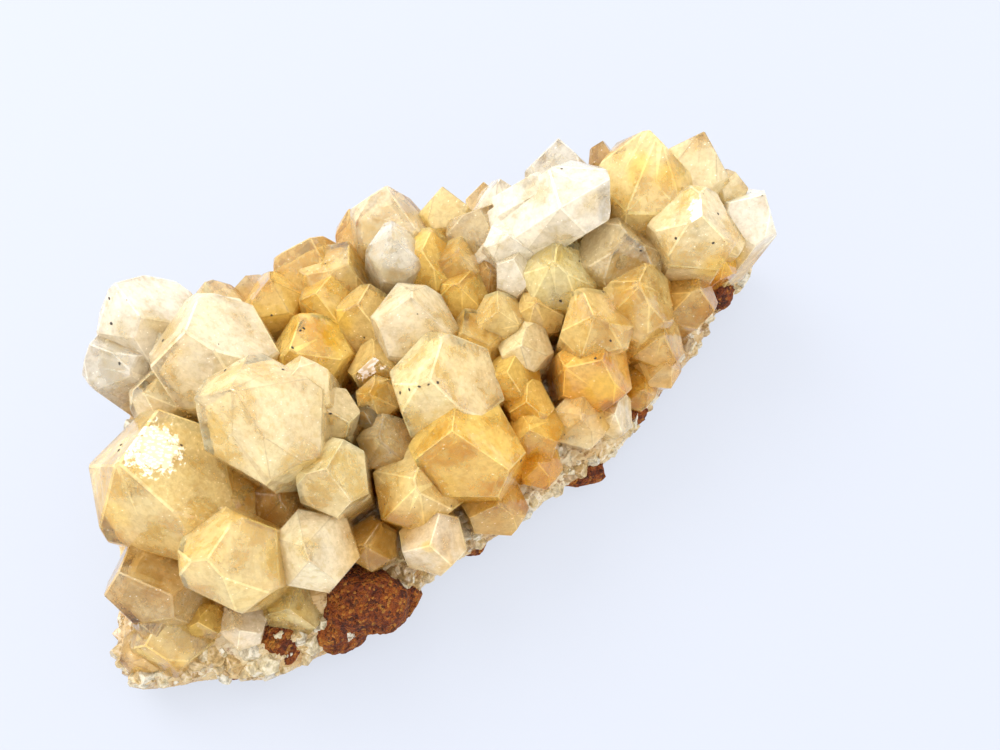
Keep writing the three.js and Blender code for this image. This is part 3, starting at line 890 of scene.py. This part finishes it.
rock = {
    "voxel": 0.75,
    "lumps": 1.3,
    "lumpsPerMm": 0.22,
    "lumpNoise": (0.9, 2.1, 3),
    "grit": 0.8,
    "gritPerMm": 0.75,
    "dust": 0.25,
    "dustPerMm": 1.7,
    "lumpOutward": 0.5,  # how much of the lumps moves out from the middle, and up
    "lumpUpward": 0.6,
    "gritUpward": 0.8,
    "drawnIn": 0.6,
    "still": 2,  # below this height it moves less, and on the ground it doesn't move
    "frontHeight": 5.5,
    "backHeight": 15,
    "waves": 1.2,
    "frontEdge": -30,  # across the specimen, where its height begins to rise
    "depth": 68,
    "smoothUpTo": 40,
    "ochre": (260, 7, 0.75),
    "ochreColours": [(0.34, "#451800"), (0.45, "#7C3404"), (0.55, "#A4530A"), (0.68, "#C8842C")],
    "grainsPerMetre": 1500,
    "paleGrains": (0.85, 0.98, 0.0, 0.6),
    "darkGrains": (0.3, 0.1, 0.0, 0.7),
    "roughness": 0.92,
    "bump": (1.0, 0.0012),
}


def rimPlace(share):  # share runs from 0 to 1 round the rim
    along = (share % 1) * len(rim)
    i = int(along)
    t = along - i
    a, b, c, d = (Vector(rim[(i + k) % len(rim)]) for k in (-1, 0, 1, 2))
    bend = (2 * a - 5 * b + 4 * c - d) * t ** 2 + (3 * b - a - 3 * c + d) * t ** 3
    place = (2 * b + (c - a) * t + bend) / 2
    return Vector((place.x, place.y, 0))


def lumps(x, y):  # low waves over the plan, from -1 to 1
    return (math.sin(x * 0.31 + y * 0.12 + 1.3) + math.sin(y * 0.37 - x * 0.16 + 0.4)
            + math.sin((x + y) * 0.52 + 2.1)) / 3


def backness(x, y):  # 0 at the front edge and 1 at the back edge
    across = math.sin(planTurn) * x + math.cos(planTurn) * y
    return clamped((across - rock["frontEdge"]) / rock["depth"])


def rockTop(x, y):
    height = mixed(rock["frontHeight"], rock["backHeight"], backness(x, y))
    return height + rock["waves"] * lumps(x, y)


def crustTop(x, y, share):  # share is 0 in the middle and 1 at the rim
    thickness = mixed(*crust["thickness"], backness(x, y))
    dome = crust["dome"] * (1 - share * share)
    return rockTop(x, y) + thickness + dome + crust["waves"] * lumps(y + 9, x - 5)


def shapedCrust(co):  # the ball's lower half becomes the underside and its upper half the domed top
    around = (math.atan2(co.y, co.x) / (2 * math.pi)) % 1
    share = math.sqrt(clamped(1 - co.z * co.z)) ** crust["flank"]
    edge = rimPlace(around)
    spot = rimMiddle + (edge - rimMiddle) * share
    ground = rockTop(spot.x, spot.y)
    if co.z < 0:
        height = mixed(ground * 0.7, crust["underside"], clamped(-2 * co.z))
    else:
        height = mixed(ground + 1, crustTop(spot.x, spot.y, share), clamped(crust["wall"] * co.z))
    return Vector((spot.x, spot.y, height))


def brokenCrust(co):  # broken lumps, with crumbs and grain on them
    away = (co - rimMiddle).normalized()
    chip = noise.voronoi(co * crust["chipsPerMm"])[0]
    crumb = noise.voronoi(co * crust["crumbsPerMm"])[0]
    step = crust["chips"] * (chip[1] - chip[0]) * 1.3 + crust["crumbs"] * (crumb[1] - crumb[0])
    grain = crust["grain"] * noise.fractal(co * crust["grainPerMm"], *shapeNoise)
    up = Vector((0, 0, grain + crust["upward"] * step - crust["lowered"]))
    return co + away * (step * crust["outward"] + grain - crust["drawnIn"]) + up


def crustPiece():
    clearSelection()
    bpy.ops.mesh.primitive_uv_sphere_add(segments=crust["segments"], ring_count=crust["rings"], radius=1)
    piece = bpy.context.object
    moved(piece, shapedCrust)
    applied(piece, "REMESH", mode="VOXEL", voxel_size=crust["voxel"])
    moved(piece, brokenCrust)
    pick(piece)
    bpy.ops.object.shade_flat()
    return piece


def weatheredRock(co):  # lumps and grit, but none on the ground
    spot = co / mm
    outward = Vector((spot.x, spot.y, 0)).normalized()
    lump = rock["lumps"] * noise.fractal(spot * rock["lumpsPerMm"], *rock["lumpNoise"])
    cell = noise.voronoi(spot * rock["gritPerMm"])[0]
    grit = rock["grit"] * (cell[1] - cell[0]) + rock["dust"] * noise.noise(spot * rock["dustPerMm"])
    up = Vector((0, 0, lump * rock["lumpUpward"] + grit * rock["gritUpward"]))
    shift = outward * (lump * rock["lumpOutward"] + grit - rock["drawnIn"]) + up
    settled = spot + shift * clamped(spot.z / rock["still"])
    return settled * mm


def rockPiece():
    piece = copied(frame["nodes"]["rusty_matrix"])
    piece.parent = None
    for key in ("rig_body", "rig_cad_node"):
        if key in piece:
            del piece[key]
    pick(piece)
    edited(bpy.ops.mesh.remove_doubles, threshold=0.00001)
    applied(piece, "REMESH", mode="VOXEL", voxel_size=rock["voxel"] * mm)
    moved(piece, weatheredRock)
    shadedByAngle(piece, rock["smoothUpTo"])
    return piece


def crustMaterial():
    # Massive vein quartz, broken rather than grown: greasy, cloudy and cracked through, with iron stain
    # that has crept in along the cracks.
    material, tree, output = newMaterial("massive vein quartz")
    place = objectPlace(tree)
    stain = noiseValue(tree, place, *crust["stain"])
    cracks = noiseValue(tree, place, *crust["cracks"])
    grain = cellValue(tree, cellsNode(tree, place, crust["grainsPerMetre"]))
    colour = layered(tree, ramp(tree, stain, crust["stainColours"]), (
        (ranged(tree, grain, *crust["paleGrains"]), "#FBF0D8"),
        (ranged(tree, cracks, *crust["crackRange"]), "#8F5A22")))
    surfaced(tree, output, {"IOR": quartzRefraction, "Transmission Weight": crust["transmission"]}, {
        "Base Color": colour, "Roughness": ranged(tree, grain, *crust["roughness"]),
        "Normal": bumped(tree, cracks, *crust["bump"])})
    return material


def rustMaterial():
    # Limonite, an earthy iron oxide: dull, granular and porous, from ochre to dark red-brown.
    material, tree, output = newMaterial("granular limonite")
    place = objectPlace(tree)
    ochre = noiseValue(tree, place, *rock["ochre"])
    cells = cellsNode(tree, place, rock["grainsPerMetre"])
    grain = cellValue(tree, cells)
    colour = layered(tree, ramp(tree, ochre, rock["ochreColours"]), (
        (ranged(tree, grain, *rock["paleGrains"]), "#CC8A34"),
        (ranged(tree, grain, *rock["darkGrains"]), "#3A1504")))
    relief = maths(tree, "SUBTRACT", ochre, cells.outputs["Distance"])
    surfaced(tree, output, {"Roughness": rock["roughness"]}, {
        "Base Color": colour, "Normal": bumped(tree, relief, *rock["bump"])})
    return material


# Druse: small points that grew in the gaps, on the flanks and along the rim

druse = {
    "tries": 5200,
    "most": 900,
    "smallest": 0.7,  # radius
    "largest": 2.6,
    "length": 3,  # as a share of the radius
    "wear": 0.05,
    "spread": 1.1,  # how far they lean away from the ground's own direction
    "raised": (0.35, 0.5),  # tip above the ground, as a share of the radius
    "lowest": 7,  # height that they grow from
    "cutOff": 4,  # nothing of them reaches below this height
    "tints": ["#F0DDB0", "#E2C68C", "#CFAC74", "#F6EACB", "#E6C486"],
    "clouds": (800, 4, 0.6),
    "whiteSpots": (0.52, 0.68, 0.0, 0.4),
    "clearness": (0.35, 0.6, 0.65, 0.25),
    "roughness": 0.12,
}

overAll = 90  # a height above the whole specimen
down = Vector((0, 0, -1))


def druseSpots(standing, ground):  # bare places on the ground between the standing crystals
    standingTree = treeOf(standing)
    groundTree = treeOf(ground)

    def bare(start, way):
        hit = groundTree.ray_cast(start, way)
        above = standingTree.ray_cast(start, way)
        return hit if hit[0] and (not above[0] or above[3] > hit[3] - 0.5) else None

    spots = []
    for i in range(druse["tries"]):
        edge = rimPlace(chance(i + 0.31))
        share = math.sqrt(chance(i + 0.77))
        if i % 4:
            spot = rimMiddle + (edge - rimMiddle) * share
            hit = bare(Vector((spot.x, spot.y, overAll)), down)
        else:  # from the side, for the rim's wall
            outside = rimMiddle + (edge - rimMiddle) * 1.3 + Vector((0, 0, varied(5, 16, i + 0.9)))
            hit = bare(outside, (rimMiddle - edge).normalized())
        if hit and hit[0].z > druse["lowest"]:
            spots.append((i, hit[0], hit[1]))
    return spots[:druse["most"]]


def drusePiece(standing, ground):
    shapes = [grownPoint(1, druse["length"], 1, 40 + 9 * k, druse["wear"], 0) for k in range(4)]
    parts = []
    for i, spot, outward in druseSpots(standing, ground):
        radius = mixed(druse["smallest"], druse["largest"], chance(i + 0.13) ** 2)
        lean = Vector((chance(i + 1) - 0.5, chance(i + 2) - 0.5, chance(i + 3))) * druse["spread"]
        way = (outward + lean).normalized()
        tip = Matrix.Translation(spot + way * radius * varied(*druse["raised"], i + 4))
        turn = Matrix.Rotation(6 * chance(i + 5), 4, "Z")
        part = copied(shapes[i % len(shapes)])
        part.data.transform(tip @ turnedTo(way) @ turn @ Matrix.Scale(radius, 4))
        for vertex in part.data.vertices:
            vertex.co.z = max(vertex.co.z, druse["cutOff"])
        tinted(part, druse["tints"][i % len(druse["tints"])])
        parts.append(part)
    for shape in shapes:
        bpy.data.objects.remove(shape)
    return joined(parts)


def druseMaterial():
    # Small quartz points are clearer and glassier than the large ones, and stained where they stand.
    material, tree, output = newMaterial("glassy quartz druse")
    fine = noiseValue(tree, objectPlace(tree), *druse["clouds"])
    whitened = ranged(tree, fine, *druse["whiteSpots"])
    surfaced(tree, output, {"IOR": quartzRefraction, "Roughness": druse["roughness"]}, {
        "Base Color": blendColours(tree, whitened, ownValue(tree, "tint", "Color"), "#FFF8EA"),
        "Transmission Weight": ranged(tree, fine, *druse["clearness"])})
    return material


# Black grains: goethite dust and grains that sit on the crystals

grains = {
    "scattered": 70,
    "smallest": 0.12,  # radius
    "largest": 0.42,
    "width": (0.5, 0.5),  # as shares of the length
    "height": 0.5,
    "colour": "#2E1C0C",
    "roughness": 0.5,
}


def grainPiece(piece):
    tree = treeOf(piece)
    clearSelection()
    bpy.ops.mesh.primitive_ico_sphere_add(subdivisions=1, radius=1)
    ball = bpy.context.object
    spots = [(tree.find_nearest(Vector(spot)), grains["largest"]) for spot in blackGrains]
    for i in range(grains["scattered"]):
        spot = rimMiddle + (rimPlace(chance(i + 0.41)) - rimMiddle) * math.sqrt(chance(i + 0.83))
        hit = tree.ray_cast(Vector((spot.x, spot.y, overAll)), down)
        size = mixed(grains["smallest"], grains["largest"], chance(i + 0.2) ** 3)
        if hit[0]:
            spots.append((hit, size))
    parts = []
    for i, (hit, size) in enumerate(spots):
        part = copied(ball)
        width = size * varied(*grains["width"], i + 0.6)
        shape = Matrix.Diagonal((size, width, size * grains["height"], 1))
        lie = turnedTo(hit[1]) @ Matrix.Rotation(i, 4, "Z")
        part.data.transform(Matrix.Translation(hit[0]) @ lie @ shape)
        parts.append(part)
    bpy.data.objects.remove(ball)
    return joined(parts)


def grainMaterial():
    # Goethite, a dark brown to black iron mineral, dull with a slight gleam.
    material, tree, output = newMaterial("goethite grains")
    surfaced(tree, output, {"Base Color": linear(grains["colour"]), "Roughness": grains["roughness"]})
    return material


planned = plannedCrystals()
crystalsPiece = fusedCrystals(planned)
print("crystals fused")
markQuartz(crystalsPiece, planned)
massive = crustPiece()
veilFilms = veilPiece(planned)
grainSpecks = grainPiece(crystalsPiece)
milkyHearts = heartPiece(planned)
smallPoints = drusePiece(crystalsPiece, massive)
rusty = rockPiece()
for piece in (crystalsPiece, milkyHearts, massive, veilFilms, grainSpecks, smallPoints):
    piece.data.transform(planToFrame)
finishedPiece(crystalsPiece, "crystals", crystalMaterial(), "quartz_cluster")
finishedPiece(massive, "massive_quartz", crustMaterial(), "quartz_cluster")
finishedPiece(veilFilms, "healed_cracks", veilMaterial(), None)
finishedPiece(milkyHearts, "milky_hearts", heartMaterial(), None)
finishedPiece(grainSpecks, "black_grains", grainMaterial(), None)
finishedPiece(smallPoints, "druse", druseMaterial(), None)
finishedPiece(rusty, "rusty_rock", rustMaterial(), "rusty_matrix")
for piece in (crystalsPiece, milkyHearts, massive, veilFilms, grainSpecks, smallPoints, rusty):
    print(piece.name, len(piece.data.polygons), "faces")


# The table, the light and the camera

studio = {
    "exposure": 0.36,
    "tableColour": "#52545C",
    "tableGlow": "#BBBFC7",  # a light table, which keeps the shadows pale
    "tableRoughness": 0.7,
    "skyColour": "#F4F8FF",
    "skyStrength": 1.35,
    "sunStrength": 1.5,
    "sunAngle": 35,  # degrees across, so that shadows are soft
    "sunFrom": (-0.62, 0.5, 0.85),  # in the plan
    "cameraPlace": (-0.05862, -0.11801, 0.2628),
    "cameraAim": (0.01357, -0.01098, 0.020),
    "lens": 43.46,
}


def table():
    clearSelection()
    bpy.ops.mesh.primitive_plane_add(size=3, location=(0, 0, 0))
    piece = bpy.context.object
    piece.name = "table"
    material, tree, output = newMaterial("matt white board")
    surfaced(tree, output, {
        "Base Color": linear(studio["tableColour"]), "Roughness": studio["tableRoughness"],
        "Emission Color": linear(studio["tableGlow"]), "Emission Strength": 1.0})
    piece.data.materials.append(material)


def light():
    world = bpy.data.worlds.new("sky")
    bpy.context.scene.world = world
    world.use_nodes = True
    background = world.node_tree.nodes["Background"]
    background.inputs["Color"].default_value = linear(studio["skyColour"])
    background.inputs["Strength"].default_value = studio["skyStrength"]
    toSun = Matrix.Rotation(planTurn, 3, "Z") @ Vector(studio["sunFrom"])
    lamp = bpy.data.lights.new("window", "SUN")
    lamp.energy = studio["sunStrength"]
    lamp.angle = math.radians(studio["sunAngle"])
    lampObject = bpy.data.objects.new("window", lamp)
    lampObject.rotation_euler = toSun.to_track_quat("Z", "Y").to_euler()
    bpy.context.scene.collection.objects.link(lampObject)


def camera():
    data = bpy.data.cameras.new("camera")
    data.lens = studio["lens"]
    data.sensor_width = 36
    data.clip_start = 0.01
    cameraObject = bpy.data.objects.new("camera", data)
    place = Vector(studio["cameraPlace"])
    aim = Vector(studio["cameraAim"])
    cameraObject.location = place
    cameraObject.rotation_euler = (aim - place).to_track_quat("-Z", "Y").to_euler()
    bpy.context.scene.collection.objects.link(cameraObject)
    bpy.context.scene.camera = cameraObject


table()
light()
camera()
bpy.context.scene.view_settings.view_transform = "Standard"
bpy.context.scene.view_settings.exposure = studio["exposure"]
print("table, light and camera set")
